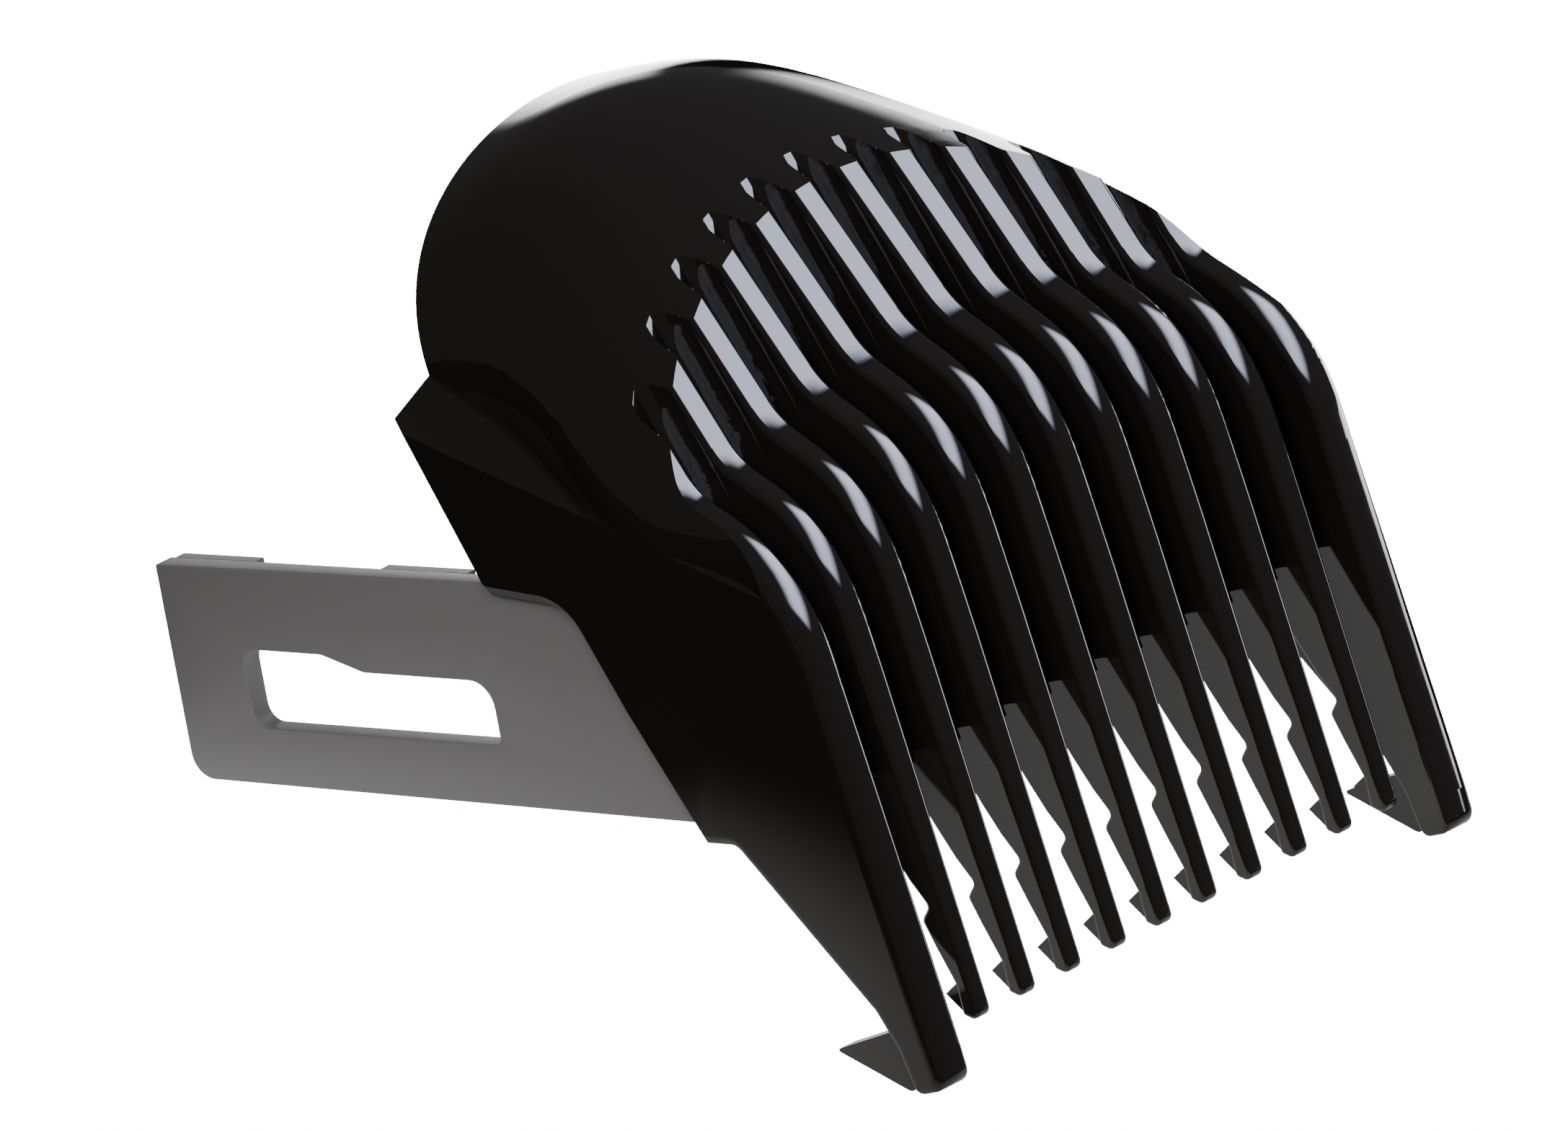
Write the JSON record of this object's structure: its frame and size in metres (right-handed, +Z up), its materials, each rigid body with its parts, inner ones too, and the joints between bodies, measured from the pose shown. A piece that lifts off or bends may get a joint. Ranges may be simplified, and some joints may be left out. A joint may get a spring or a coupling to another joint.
{
  "type": "hair clipper guide comb",
  "caption": "Clip-on guide comb for a hair clipper: a domed hood with a row of curved teeth and two springy side arms that snap onto the clipper.",
  "frame": {"origin": "middle of the bounding box, at the table the comb stands on", "axes": "X across the comb, teeth towards -Y, arms towards +Y, +Z up; it stands on the hooks behind its end teeth and on the lower rear corners of its arms"},
  "size_m": [0.0476, 0.0598, 0.0402],
  "materials": {
    "hood_plastic": "high gloss near-black moulded ABS",
    "arm_plastic": "fine spark-textured dark grey ABS"
  },
  "bodies": {
    "hood": {"arm_root_left": "hood_plastic", "arm_root_right": "hood_plastic", "cheek_left": "hood_plastic", "cheek_right": "hood_plastic", "hood_shell": "hood_plastic", "hook_left": "hood_plastic", "hook_right": "hood_plastic", "tooth_01": "hood_plastic", "tooth_02": "hood_plastic", "tooth_03": "hood_plastic", "tooth_04": "hood_plastic", "tooth_05": "hood_plastic", "tooth_06": "hood_plastic", "tooth_07": "hood_plastic", "tooth_08": "hood_plastic", "tooth_09": "hood_plastic", "tooth_10": "hood_plastic"},
    "left_arm": {"arm_left": "arm_plastic", "arm_catch_left": "arm_plastic", "arm_guide_left": "arm_plastic"},
    "right_arm": {"arm_right": "arm_plastic", "arm_catch_right": "arm_plastic", "arm_guide_right": "arm_plastic"}
  },
  "joints": [
    {"name": "left_arm_flex", "type": "hinge", "parent": "hood", "child": "left_arm", "pos_m": [-0.0219, -0.00725, 0.00976], "axis": [0, 0.6872, 0.7265], "range_deg": [0, 3], "stiffness_Nm_per_rad": 1.2},
    {"name": "right_arm_flex", "type": "hinge", "parent": "hood", "child": "right_arm", "pos_m": [0.0219, -0.00725, 0.00976], "axis": [0, -0.6872, -0.7265], "range_deg": [0, 3], "stiffness_Nm_per_rad": 1.2}
  ]
}
